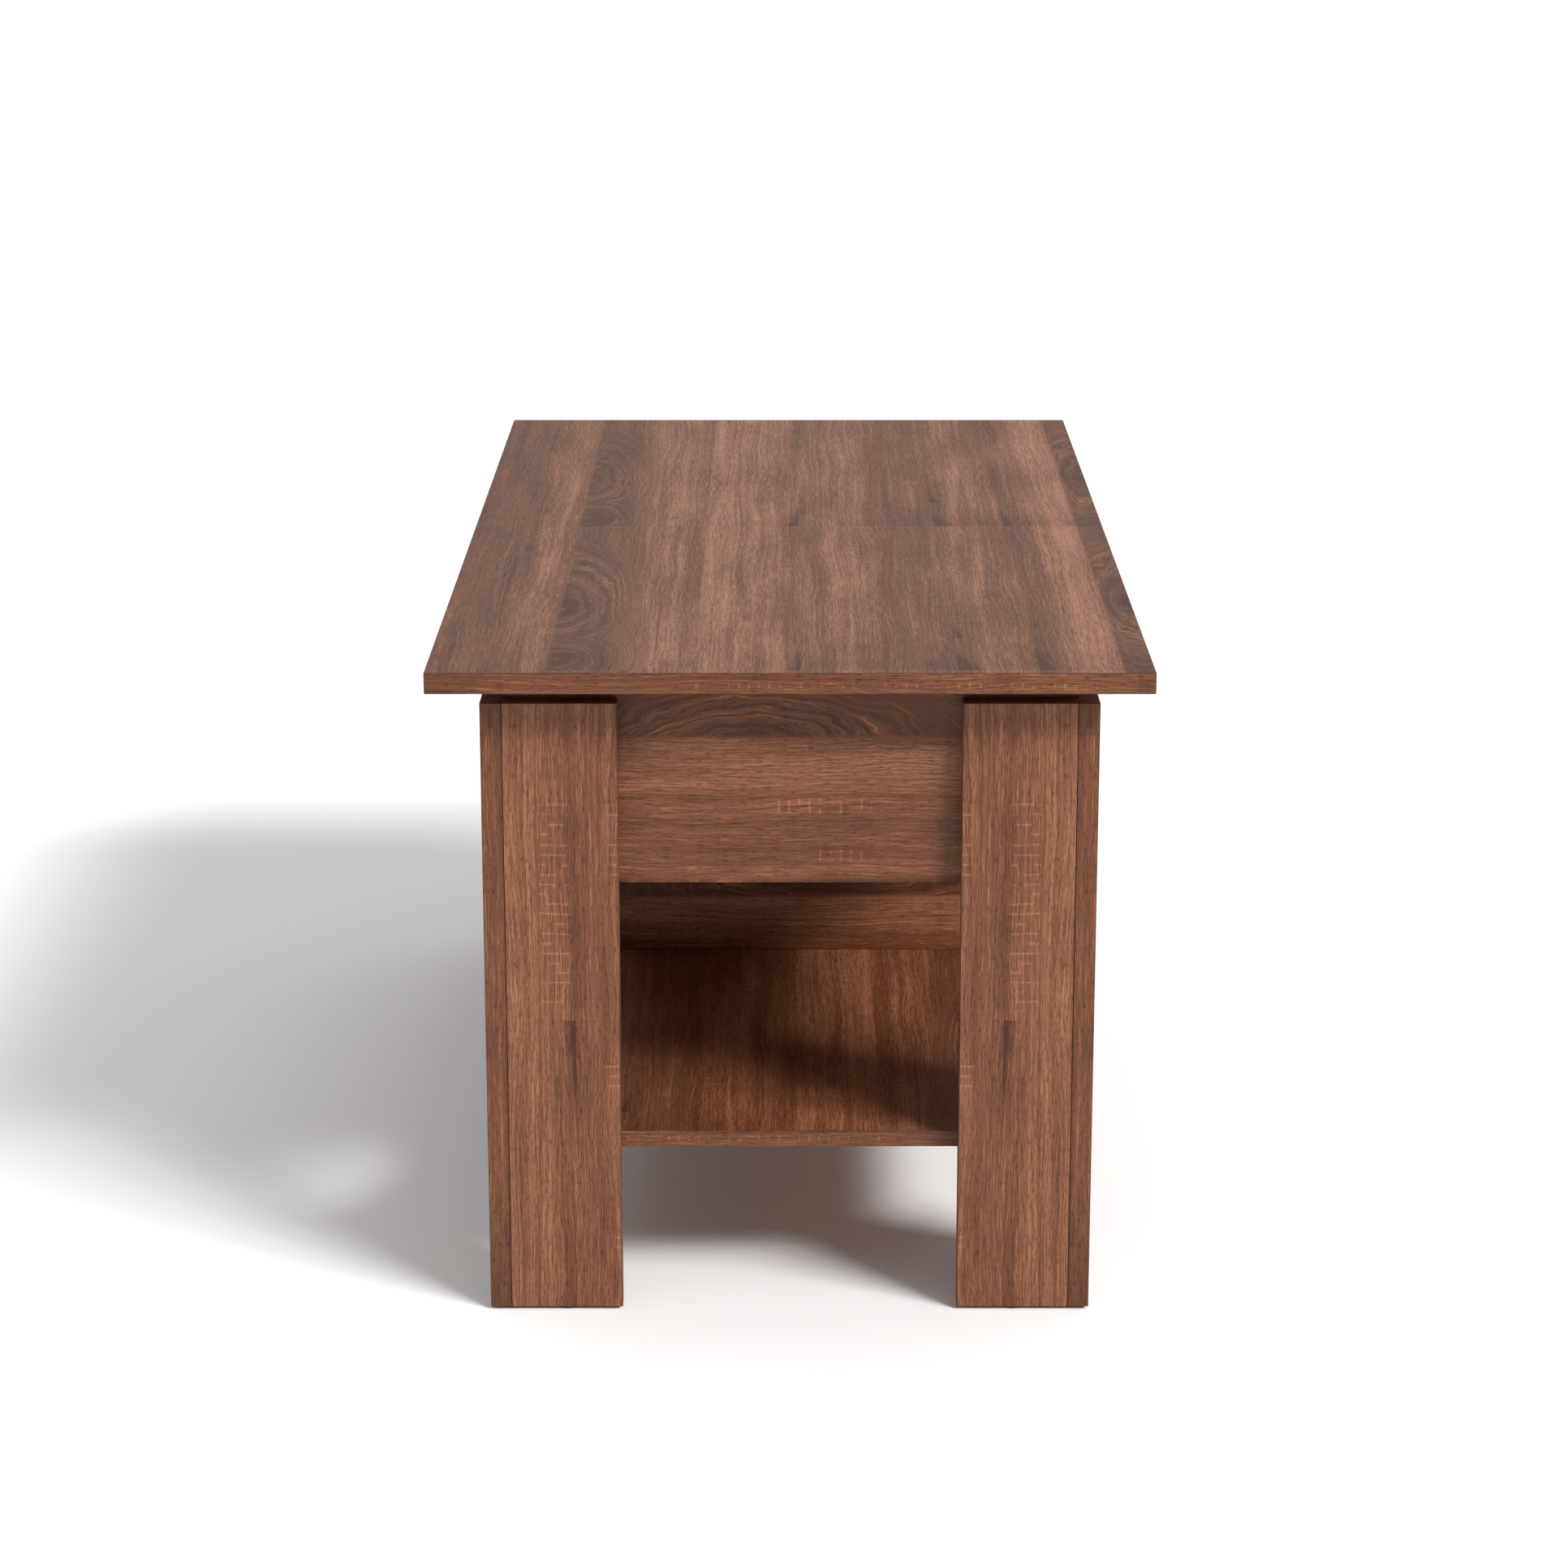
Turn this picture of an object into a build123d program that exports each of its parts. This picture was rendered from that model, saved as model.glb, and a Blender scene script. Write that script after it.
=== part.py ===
from build123d import *
import os
from math import cos, radians, sin

# Lift top coffee table. Four L-shaped legs of board carry a shallow box and a shelf. The top closes
# the box, and a four-bar lift at each end swings it up and forward, still level.
# Millimetres, +Z up, length along Y, lifting towards +X, origin on the floor under the centre.

# Table
TABLE_HEIGHT = 480
TOP_LENGTH = 975
TOP_WIDTH = 500
TOP_OVERHANG = 35  # of the top past the legs, all round
BOARD = 15  # top, legs, box sides and shelf divider
THIN_BOARD = 12  # shelf and box floor
EDGE_BREAK = 0.4  # small bevel on every board edge

# Legs
LEG_GAP = 15  # from the leg tops to the top's underside
END_BOARD_WIDTH = 80  # leg board that faces the table's end
SIDE_BOARD_LENGTH = 95  # leg board that faces the table's long side
GLIDE_HEIGHT = 2
GLIDE_RADIUS = 6

# Box and shelf
BOX_DEPTH = 149  # from the top's underside to the bottom of the box
BUMPER_HEIGHT = 2
BUMPER_RADIUS = 5
BUMPER_INSET = 60  # from the inner corner of the box
SHELF_UNDERSIDE = 119

# Fits
FIT = 0.05  # radial clearance of pins, dowels and screws in their holes
PLAY = 0.3  # side play of a moving arm
HOLE_SPARE = 0.5  # a blind hole is this much deeper than what it holds

# Cams, bolts and dowels
CAM_RADIUS = 7.5
CAM_LENGTH = 12.5
CAM_INSET = 34  # cam centre from the end of its board
CAM_MARGIN = 32  # cam centre from the bottom and the rim of the box
CAM_SLOT_WIDTH = 1.6
CAM_SLOT_LENGTH = 9
CAM_SLOT_DEPTH = 2
BOLT_RADIUS = 3
BOLT_HEAD_RADIUS = 3.5
BOLT_HEAD_LENGTH = 5
BOLT_BORE_RADIUS = 4
BLIND = 10  # depth of a bolt or dowel in the face of a board
DOWEL_RADIUS = 3
DOWEL_LENGTH = 24
PANEL_DOWEL_RADIUS = 4
PANEL_DOWEL_LENGTH = 30
LEG_DOWEL_MARGIN = 60  # from the ends of a leg
FLOOR_DOWEL_INSET = 110  # from the corners of the box floor

# Screws
SCREW_RADIUS = 1.75
SCREW_HEAD_RADIUS = 3.6
PAN_HEAD_RADIUS = 3.8
PAN_HEAD_HEIGHT = 2
BITE = 10  # depth of a screw's thread in a board
LEG_SCREW_MARGIN = 52  # from the bottom and the rim of the box
LEG_SCREW_INSET = 13  # from the free edge of a leg's side board
DIVIDER_SCREW_LENGTH = 40
DIVIDER_SCREW_INSET = 75  # from the ends of the divider

# Shelf brackets
BRACKET_ARM = 25
BRACKET_WIDTH = 20
BRACKET_THICK = 2
BRACKET_INSET = 48  # bracket centre from the leg's outer corner

# Lift. Each link lies in a plane across the table, and points in that plane are (x, z).
REST_ANGLE = 170  # of the arms, from +X
FRONT_PIVOT_GAP = 85  # front arm's lower pivot from the front side panel
REAR_PIVOT_GAP = 28  # rear arm's upper pivot from the rear side panel, top closed
PIVOT_DROP = 48  # front arm's lower pivot below the rim
PIVOT_SPACING = (60, 33)  # between the two arms
PLATE_THICK = 2.5
LINK_THICK = 3  # arms and rails
LINK_GAP = 3  # between a plate and the arm beside it, and an arm and its rail
ARM_HALF_WIDTH = 11
PIN_RADIUS = 5
LOOSE_PIN_RADIUS = 4.7  # at the rear arm's upper pivot
PIN_SHOULDER_RADIUS = 8
PIN_HEAD_HEIGHT = 2
PLATE_MARGIN = 12  # plate round its lower points
PLATE_PIVOT_MARGIN = 18
PLATE_SCREW_INSET = 25
PLATE_SCREW_DROP = 6
TAIL_LENGTH = 20
TAIL_ANGLE = 325  # from +X, top closed
TAIL_RADIUS = 8
POST_GAP = 85  # spring post from the rear side panel
POST_RADIUS = 4
POST_LENGTH = 20
SPRING_SEAT = 6  # from the post's tip to the spring's centre line
SPRING_PIN_RADIUS = 3
SPRING_PIN_LENGTH = 14
SPRING_RADIUS = 5.5
SPRING_END_GAP = 0.3
SYNC_BAR_RADIUS = 6
SYNC_BAR_REACH = 50  # from the front arm's lower pivot
RAIL_MARGIN = 12  # rail round its pivots
RAIL_FRONT_GAP = 35  # from the front side panel
RAIL_FLANGE = 30
RAIL_SCREW_INSET = 30
RAIL_SCREWS = 4

# Levels
UNDERSIDE = TABLE_HEIGHT - BOARD
RIM = UNDERSIDE - BUMPER_HEIGHT
BOX_BOTTOM = UNDERSIDE - BOX_DEPTH
FLOOR_TOP = BOX_BOTTOM + THIN_BOARD
LEG_TOP = UNDERSIDE - LEG_GAP
SHELF_TOP = SHELF_UNDERSIDE + THIN_BOARD

# Faces, as distances from the centre: the legs' outside, the box's outside and the box's inside
LEG_X = TOP_WIDTH / 2 - TOP_OVERHANG
LEG_Y = TOP_LENGTH / 2 - TOP_OVERHANG
BOX_X = LEG_X - BOARD
BOX_Y = LEG_Y - BOARD
INNER_X = BOX_X - BOARD
INNER_Y = BOX_Y - BOARD

# Layers of the lift, as distances from the centre along Y
PLATE_FACE = INNER_Y - PLATE_THICK
ARM_OUTER = PLATE_FACE - LINK_GAP
ARM_INNER = ARM_OUTER - LINK_THICK
RAIL_OUTER = ARM_INNER - LINK_GAP
RAIL_INNER = RAIL_OUTER - LINK_THICK
SPRING_Y = PLATE_FACE - POST_LENGTH + SPRING_SEAT

# Pivots of the lift, top closed
ARM_RUN = 2 * INNER_X - FRONT_PIVOT_GAP - REAR_PIVOT_GAP - PIVOT_SPACING[0]
ARM_LENGTH = -ARM_RUN / cos(radians(REST_ANGLE))
FRONT_LOW = (INNER_X - FRONT_PIVOT_GAP, RIM - PIVOT_DROP)
REAR_LOW = (FRONT_LOW[0] - PIVOT_SPACING[0], FRONT_LOW[1] - PIVOT_SPACING[1])


def reach(point, length, angle):
    """The point a length away from another, at an angle from +X."""
    return (point[0] + length * cos(radians(angle)), point[1] + length * sin(radians(angle)))


FRONT_HIGH = reach(FRONT_LOW, ARM_LENGTH, REST_ANGLE)
REAR_HIGH = reach(REAR_LOW, ARM_LENGTH, REST_ANGLE)
SPRING_PIN = reach(REAR_LOW, TAIL_LENGTH, TAIL_ANGLE)
SPRING_POST = (POST_GAP - INNER_X, SPRING_PIN[1])
SYNC_BAR = reach(FRONT_LOW, SYNC_BAR_REACH, REST_ANGLE)
RAIL_REAR = REAR_HIGH[0] - RAIL_MARGIN
RAIL_LENGTH = INNER_X - RAIL_FRONT_GAP - RAIL_REAR

ENDS = {"near": -1, "far": 1}
SIDES = {"left": -1, "right": 1}
CORNERS = [(end, side) for end in (-1, 1) for side in (-1, 1)]
UP = (0, 0, 1)
DOWN = (0, 0, -1)
ON_FACE = (Align.CENTER, Align.CENTER, Align.MIN)


def span(a, b):
    """Two ends of a stretch, the lower one first."""
    return (min(a, b), max(a, b))


def board(x, y, z):
    """Adds a board that fills three spans, with its edges broken."""
    with BuildSketch(Plane.XY.offset(z[0])) as outline:
        with Locations((sum(x) / 2, sum(y) / 2)):
            Rectangle(x[1] - x[0], y[1] - y[0])
    extrude(outline.sketch, amount=z[1] - z[0])
    chamfer(edges(), EDGE_BREAK)


def rod(start, direction, radius, length, mode=Mode.ADD):
    """Adds a round rod, or cuts its hole, from a point along a direction."""
    with BuildSketch(Plane(origin=start, z_dir=direction)) as section:
        Circle(radius)
    extrude(section.sketch, amount=length, mode=mode)


def hole(start, direction, radius, length):
    """Cuts the hole for a rod, with its clearance."""
    rod(start, direction, radius + FIT, length + HOLE_SPARE, Mode.SUBTRACT)


def sunk_screw(start, direction, length, clearance=0, mode=Mode.ADD):
    """Adds a countersunk screw with its head flush at the start, or cuts its hole."""
    with Locations(Plane(origin=start, z_dir=direction).location):
        head = SCREW_HEAD_RADIUS + clearance
        shank = SCREW_RADIUS + clearance
        Cone(head, shank, SCREW_HEAD_RADIUS - SCREW_RADIUS, align=ON_FACE, mode=mode)
        Cylinder(shank, length + clearance, align=ON_FACE, mode=mode)


def pan_screw(start, direction, length):
    """Adds a pan head screw: its head stands on the start, and its shank runs on from there."""
    rod(start, direction, SCREW_RADIUS, length)
    rod(start, [-part for part in direction], PAN_HEAD_RADIUS, PAN_HEAD_HEIGHT)


def pivot_pin(point, start, direction, radius):
    """Adds a shouldered pin that carries an arm: shoulder, journal and head."""
    y = start
    for step_radius, length in (
        (PIN_SHOULDER_RADIUS, LINK_GAP - PLAY),
        (radius, LINK_THICK + 2 * PLAY),
        (PIN_SHOULDER_RADIUS, PIN_HEAD_HEIGHT),
    ):
        rod((point[0], y, point[1]), (0, direction, 0), step_radius, length)
        y += direction * length


def save(piece, name):
    """Labels a finished piece and writes its STEP."""
    piece.part.label = name
    export_step(piece.part, f"parts/{name}.step")


# Where the fasteners start, and which way each one points


def leg_screws(end, side):
    """The four screws of one leg, from inside the box: two through each panel."""
    for z in (BOX_BOTTOM + LEG_SCREW_MARGIN, RIM - LEG_SCREW_MARGIN):
        yield (side * (BOX_X - END_BOARD_WIDTH / 2), end * INNER_Y, z), (0, end, 0)
        free_edge = LEG_Y - SIDE_BOARD_LENGTH
        yield (side * INNER_X, end * (free_edge + LEG_SCREW_INSET), z), (side, 0, 0)


def leg_dowels(end, side):
    """The dowels that join the two boards of one leg."""
    lowest = GLIDE_HEIGHT + LEG_DOWEL_MARGIN
    highest = LEG_TOP - LEG_DOWEL_MARGIN
    for z in (lowest, (lowest + highest) / 2, highest):
        start = side * (BOX_X + BLIND - DOWEL_LENGTH)
        yield (start, end * (BOX_Y + BOARD / 2), z), (side, 0, 0)


def cams(end, side):
    """The cams of one box corner, each from the side panel's inner face."""
    for z in (BOX_BOTTOM + CAM_MARGIN, RIM - CAM_MARGIN):
        yield (side * INNER_X, end * (INNER_Y - CAM_INSET), z), (side, 0, 0)


def cam_bolts(end, side):
    """The bolts that the cams draw in, each from its thread's end in the end panel."""
    for (_, _, z), _ in cams(end, side):
        yield (side * (INNER_X + BOARD / 2), end * (INNER_Y + BLIND), z), (0, -end, 0)


def panel_dowel(end, side):
    """The dowel of one box corner."""
    z = (BOX_BOTTOM + RIM) / 2
    return (side * (INNER_X + BOARD / 2), end * (INNER_Y + BLIND), z), (0, -end, 0)


def floor_dowels():
    """The dowels round the box floor, each from its blind end in a panel."""
    z = BOX_BOTTOM + THIN_BOARD / 2
    for sign in (-1, 1):
        for y in (FLOOR_DOWEL_INSET - INNER_Y, 0, INNER_Y - FLOOR_DOWEL_INSET):
            yield (sign * (INNER_X + BLIND), y, z), (-sign, 0, 0)
        for x in (FLOOR_DOWEL_INSET - INNER_X, INNER_X - FLOOR_DOWEL_INSET):
            yield (x, sign * (INNER_Y + BLIND), z), (0, -sign, 0)


def divider_screws():
    """The screws that hold the divider, down through the box floor and up through the shelf."""
    for x in (DIVIDER_SCREW_INSET - BOX_X, BOX_X - DIVIDER_SCREW_INSET):
        yield (x, 0, FLOOR_TOP), DOWN
        yield (x, 0, SHELF_UNDERSIDE), UP


def bracket_screws(end, side):
    """The two screws of one shelf bracket: into the leg and into the shelf."""
    y = end * (LEG_Y - BRACKET_INSET)
    middle = BRACKET_THICK + (BRACKET_ARM - BRACKET_THICK) / 2
    yield (side * (BOX_X - BRACKET_THICK), y, SHELF_UNDERSIDE - middle), (side, 0, 0)
    yield (side * (BOX_X - middle), y, SHELF_UNDERSIDE - BRACKET_THICK), UP


def plate_screws(end):
    """The screws of one lift base plate, from its face into the end panel."""
    low = SPRING_POST[1] - PLATE_SCREW_DROP
    for x, z in (
        (SPRING_POST[0] + PLATE_SCREW_INSET, low),
        ((SPRING_POST[0] + FRONT_LOW[0]) / 2, low),
        (FRONT_LOW[0], low),
        (FRONT_LOW[0], FRONT_LOW[1] - PLATE_SCREW_INSET),
    ):
        yield (x, end * PLATE_FACE, z), (0, end, 0)


def rail_screws(end):
    """The screws of one rail, up into the top."""
    pitch = (RAIL_LENGTH - 2 * RAIL_SCREW_INSET) / (RAIL_SCREWS - 1)
    for step in range(RAIL_SCREWS):
        x = RAIL_REAR + RAIL_SCREW_INSET + step * pitch
        yield (x, end * (RAIL_OUTER - RAIL_FLANGE / 2), UNDERSIDE - LINK_THICK), UP


os.makedirs("parts", exist_ok=True)

# Top
with BuildPart() as table_top:
    board(
        span(-TOP_WIDTH / 2, TOP_WIDTH / 2),
        span(-TOP_LENGTH / 2, TOP_LENGTH / 2),
        (UNDERSIDE, TABLE_HEIGHT),
    )
    for end in ENDS.values():
        for start, direction in rail_screws(end):
            hole(start, direction, SCREW_RADIUS, LINK_THICK + BITE)
save(table_top, "table_top")

# Legs: the end board stands in front of the box's end, and the side board closes the corner
for end_name, end in ENDS.items():
    for side_name, side in SIDES.items():
        with BuildPart() as leg_end_board:
            board(
                span(side * (BOX_X - END_BOARD_WIDTH), side * BOX_X),
                span(end * BOX_Y, end * LEG_Y),
                (GLIDE_HEIGHT, LEG_TOP),
            )
            for start, direction in leg_dowels(end, side):
                hole(start, direction, DOWEL_RADIUS, DOWEL_LENGTH)
            for start, direction in leg_screws(end, side):
                hole(start, direction, SCREW_RADIUS, BOARD + BITE)
        save(leg_end_board, f"leg_{end_name}_{side_name}_end_board")

        with BuildPart() as leg_side_board:
            board(
                span(side * BOX_X, side * LEG_X),
                span(end * (LEG_Y - SIDE_BOARD_LENGTH), end * LEG_Y),
                (GLIDE_HEIGHT, LEG_TOP),
            )
            for start, direction in leg_dowels(end, side):
                hole(start, direction, DOWEL_RADIUS, DOWEL_LENGTH)
            for start, direction in leg_screws(end, side):
                hole(start, direction, SCREW_RADIUS, BOARD + BITE)
            for start, direction in bracket_screws(end, side):
                hole(start, direction, SCREW_RADIUS, BRACKET_THICK + BITE)
        save(leg_side_board, f"leg_{end_name}_{side_name}_side_board")

with BuildPart() as leg_dowel_set:
    for end, side in CORNERS:
        for start, direction in leg_dowels(end, side):
            rod(start, direction, DOWEL_RADIUS, DOWEL_LENGTH)
save(leg_dowel_set, "leg_dowels")

with BuildPart() as leg_glides:
    for end, side in CORNERS:
        end_board = (side * (BOX_X - END_BOARD_WIDTH / 2), end * (BOX_Y + BOARD / 2), 0)
        side_board = (side * (BOX_X + BOARD / 2), end * (LEG_Y - SIDE_BOARD_LENGTH / 2), 0)
        rod(end_board, UP, GLIDE_RADIUS, GLIDE_HEIGHT)
        rod(side_board, UP, GLIDE_RADIUS, GLIDE_HEIGHT)
save(leg_glides, "leg_glides")

# Box: end panels, side panels between them, and the floor between all four
for end_name, end in ENDS.items():
    with BuildPart() as end_panel:
        board(span(-BOX_X, BOX_X), span(end * INNER_Y, end * BOX_Y), (BOX_BOTTOM, RIM))
        for side in SIDES.values():
            for start, direction in leg_screws(end, side):
                sunk_screw(start, direction, BOARD + BITE, FIT, Mode.SUBTRACT)
            for start, direction in cam_bolts(end, side):
                rod(start, direction, BOLT_RADIUS + FIT, BLIND, Mode.SUBTRACT)
            start, direction = panel_dowel(end, side)
            rod(start, direction, PANEL_DOWEL_RADIUS + FIT, BLIND, Mode.SUBTRACT)
        for start, direction in floor_dowels():
            rod(start, direction, DOWEL_RADIUS + FIT, BLIND, Mode.SUBTRACT)
        for start, direction in plate_screws(end):
            hole(start, direction, SCREW_RADIUS, PLATE_THICK + BITE)
    save(end_panel, f"end_panel_{end_name}")

for side_name, side in SIDES.items():
    with BuildPart() as side_panel:
        board(span(side * INNER_X, side * BOX_X), span(-INNER_Y, INNER_Y), (BOX_BOTTOM, RIM))
        for end in ENDS.values():
            for start, direction in leg_screws(end, side):
                sunk_screw(start, direction, BOARD + BITE, FIT, Mode.SUBTRACT)
            for start, direction in cams(end, side):
                hole(start, direction, CAM_RADIUS, CAM_LENGTH)
            for start, direction in cam_bolts(end, side):
                rod(start, direction, BOLT_BORE_RADIUS, BLIND + CAM_INSET, Mode.SUBTRACT)
            start, direction = panel_dowel(end, side)
            hole(start, direction, PANEL_DOWEL_RADIUS, PANEL_DOWEL_LENGTH)
        for start, direction in floor_dowels():
            rod(start, direction, DOWEL_RADIUS + FIT, BLIND, Mode.SUBTRACT)
    save(side_panel, f"side_panel_{side_name}")

with BuildPart() as box_floor:
    board(span(-INNER_X, INNER_X), span(-INNER_Y, INNER_Y), (BOX_BOTTOM, FLOOR_TOP))
    for start, direction in floor_dowels():
        hole(start, direction, DOWEL_RADIUS, DOWEL_LENGTH)
    for start, direction in divider_screws():
        if direction == DOWN:
            sunk_screw(start, direction, DIVIDER_SCREW_LENGTH, FIT, Mode.SUBTRACT)
save(box_floor, "box_floor")

with BuildPart() as rim_bumpers:
    for end, side in CORNERS:
        place = (side * (INNER_X + BOARD / 2), end * (INNER_Y - BUMPER_INSET), RIM)
        rod(place, UP, BUMPER_RADIUS, BUMPER_HEIGHT)
save(rim_bumpers, "rim_bumpers")

# Shelf and the divider that stands on it under the box
with BuildPart() as shelf:
    board(span(-BOX_X, BOX_X), span(-BOX_Y, BOX_Y), (SHELF_UNDERSIDE, SHELF_TOP))
    for start, direction in divider_screws():
        if direction == UP:
            sunk_screw(start, direction, DIVIDER_SCREW_LENGTH, FIT, Mode.SUBTRACT)
    for end, side in CORNERS:
        for start, direction in bracket_screws(end, side):
            rod(start, direction, SCREW_RADIUS + FIT, BRACKET_THICK + BITE, Mode.SUBTRACT)
save(shelf, "shelf")

with BuildPart() as shelf_divider:
    board(span(-BOX_X, BOX_X), span(-BOARD / 2, BOARD / 2), (SHELF_TOP, BOX_BOTTOM))
    for start, direction in divider_screws():
        hole(start, direction, SCREW_RADIUS, DIVIDER_SCREW_LENGTH)
save(shelf_divider, "shelf_divider")

with BuildPart() as shelf_brackets:
    for end, side in CORNERS:
        y = end * (LEG_Y - BRACKET_INSET)
        with BuildSketch(Plane.XZ.offset(-y)) as angle:
            with Locations((side * (BOX_X - BRACKET_THICK / 2), SHELF_UNDERSIDE)):
                Rectangle(BRACKET_THICK, BRACKET_ARM, align=(Align.CENTER, Align.MAX))
            with Locations((side * (BOX_X - BRACKET_ARM / 2), SHELF_UNDERSIDE)):
                Rectangle(BRACKET_ARM, BRACKET_THICK, align=(Align.CENTER, Align.MAX))
        extrude(amount=BRACKET_WIDTH / 2, both=True)
        for start, direction in bracket_screws(end, side):
            hole(start, direction, SCREW_RADIUS, BRACKET_THICK)
save(shelf_brackets, "shelf_brackets")

# Fasteners
with BuildPart() as leg_screw_set:
    for end, side in CORNERS:
        for start, direction in leg_screws(end, side):
            sunk_screw(start, direction, BOARD + BITE)
save(leg_screw_set, "leg_screws")

with BuildPart() as cam_locks:
    for end, side in CORNERS:
        for start, direction in cams(end, side):
            rod(start, direction, CAM_RADIUS, CAM_LENGTH)
            face = Plane(origin=start, z_dir=direction)
            with BuildSketch(face) as driver:
                Rectangle(CAM_SLOT_LENGTH, CAM_SLOT_WIDTH)
                Rectangle(CAM_SLOT_WIDTH, CAM_SLOT_LENGTH)
            extrude(amount=CAM_SLOT_DEPTH, mode=Mode.SUBTRACT)
        for (x, y, z), direction in cam_bolts(end, side):
            length = BLIND + CAM_INSET + CAM_RADIUS + BOARD
            rod((x, y, z), direction, BOLT_BORE_RADIUS, length, Mode.SUBTRACT)
save(cam_locks, "cam_locks")

with BuildPart() as cam_bolt_set:
    for end, side in CORNERS:
        for (x, y, z), direction in cam_bolts(end, side):
            shank = BLIND + CAM_INSET - BOLT_HEAD_LENGTH / 2
            rod((x, y, z), direction, BOLT_RADIUS, shank)
            rod((x, y - end * shank, z), direction, BOLT_HEAD_RADIUS, BOLT_HEAD_LENGTH)
save(cam_bolt_set, "cam_bolts")

with BuildPart() as panel_dowel_set:
    for end, side in CORNERS:
        start, direction = panel_dowel(end, side)
        rod(start, direction, PANEL_DOWEL_RADIUS, PANEL_DOWEL_LENGTH)
save(panel_dowel_set, "panel_dowels")

with BuildPart() as floor_dowel_set:
    for start, direction in floor_dowels():
        rod(start, direction, DOWEL_RADIUS, DOWEL_LENGTH)
save(floor_dowel_set, "floor_dowels")

with BuildPart() as divider_screw_set:
    for start, direction in divider_screws():
        sunk_screw(start, direction, DIVIDER_SCREW_LENGTH)
save(divider_screw_set, "divider_screws")

with BuildPart() as bracket_screw_set:
    for end, side in CORNERS:
        for start, direction in bracket_screws(end, side):
            pan_screw(start, direction, BRACKET_THICK + BITE)
save(bracket_screw_set, "shelf_bracket_screws")

# Lift, one linkage at each end of the box
for end_name, end in ENDS.items():
    plate_top = span(end * PLATE_FACE, end * INNER_Y)[1]
    with BuildPart() as base_plate:
        with BuildSketch(Plane.XZ.offset(-plate_top)):
            with Locations(FRONT_LOW):
                Circle(PLATE_PIVOT_MARGIN)
            with Locations(SPRING_POST, (FRONT_LOW[0], SPRING_POST[1])):
                Circle(PLATE_MARGIN)
            make_hull()
        extrude(amount=PLATE_THICK)
        for start, direction in plate_screws(end):
            rod(start, direction, SCREW_RADIUS + FIT, PLATE_THICK, Mode.SUBTRACT)
    save(base_plate, f"lift_base_plate_{end_name}")

    arm_top = span(end * ARM_INNER, end * ARM_OUTER)[1]
    with BuildPart() as front_arm:
        with BuildSketch(Plane.XZ.offset(-arm_top)):
            with Locations(FRONT_LOW, FRONT_HIGH):
                Circle(ARM_HALF_WIDTH)
            make_hull()
            with Locations(FRONT_LOW, FRONT_HIGH):
                Circle(PIN_RADIUS + FIT, mode=Mode.SUBTRACT)
        extrude(amount=LINK_THICK)
    save(front_arm, f"front_arm_{end_name}")

    with BuildPart() as rear_arm:
        with BuildSketch(Plane.XZ.offset(-arm_top)):
            with Locations(REAR_LOW, REAR_HIGH):
                Circle(ARM_HALF_WIDTH)
            make_hull()
        extrude(amount=LINK_THICK)
        with BuildSketch(Plane.XZ.offset(-arm_top)):
            with Locations(REAR_LOW):
                Circle(ARM_HALF_WIDTH)
            with Locations(SPRING_PIN):
                Circle(TAIL_RADIUS)
            make_hull()
        extrude(amount=LINK_THICK)
        for x, z in (REAR_LOW, REAR_HIGH):
            rod((x, end * ARM_INNER, z), (0, end, 0), PIN_RADIUS + FIT, LINK_THICK, Mode.SUBTRACT)
    save(rear_arm, f"rear_arm_{end_name}")

    with BuildPart() as spring_pin:
        start = (SPRING_PIN[0], end * ARM_INNER, SPRING_PIN[1])
        rod(start, (0, -end, 0), SPRING_PIN_RADIUS, SPRING_PIN_LENGTH)
    save(spring_pin, f"spring_pin_{end_name}")

    with BuildPart() as lift_spring:
        first = SPRING_POST[0] + POST_RADIUS + SPRING_END_GAP
        last = SPRING_PIN[0] - SPRING_PIN_RADIUS - SPRING_END_GAP
        rod((first, end * SPRING_Y, SPRING_POST[1]), (1, 0, 0), SPRING_RADIUS, last - first)
    save(lift_spring, f"lift_spring_{end_name}")

    rail_top = span(end * RAIL_INNER, end * RAIL_OUTER)[1]
    with BuildPart() as top_rail:
        with BuildSketch(Plane.XZ.offset(-rail_top)):
            with Locations(FRONT_HIGH, REAR_HIGH):
                Circle(RAIL_MARGIN)
            web_length = FRONT_HIGH[0] + 2 * RAIL_MARGIN - RAIL_REAR
            with Locations((RAIL_REAR, UNDERSIDE)):
                Rectangle(web_length, LINK_THICK, align=(Align.MIN, Align.MAX))
            make_hull()
        extrude(amount=LINK_THICK)
        with BuildSketch(Plane.XY.offset(UNDERSIDE)):
            with Locations((RAIL_REAR, end * (RAIL_OUTER - RAIL_FLANGE / 2))):
                Rectangle(RAIL_LENGTH, RAIL_FLANGE, align=(Align.MIN, Align.CENTER))
        extrude(amount=-LINK_THICK)
        for start, direction in rail_screws(end):
            rod(start, direction, SCREW_RADIUS + FIT, LINK_THICK, Mode.SUBTRACT)
    save(top_rail, f"top_rail_{end_name}")

with BuildPart() as sync_bar:
    rod((SYNC_BAR[0], -ARM_INNER, SYNC_BAR[1]), (0, 1, 0), SYNC_BAR_RADIUS, 2 * ARM_INNER)
save(sync_bar, "sync_bar")

with BuildPart() as base_pivot_pins:
    for end in ENDS.values():
        pivot_pin(FRONT_LOW, end * PLATE_FACE, -end, PIN_RADIUS)
        pivot_pin(REAR_LOW, end * PLATE_FACE, -end, PIN_RADIUS)
save(base_pivot_pins, "base_pivot_pins")

with BuildPart() as top_pivot_pins:
    for end in ENDS.values():
        pivot_pin(FRONT_HIGH, end * RAIL_OUTER, end, PIN_RADIUS)
        pivot_pin(REAR_HIGH, end * RAIL_OUTER, end, LOOSE_PIN_RADIUS)
save(top_pivot_pins, "top_pivot_pins")

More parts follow.
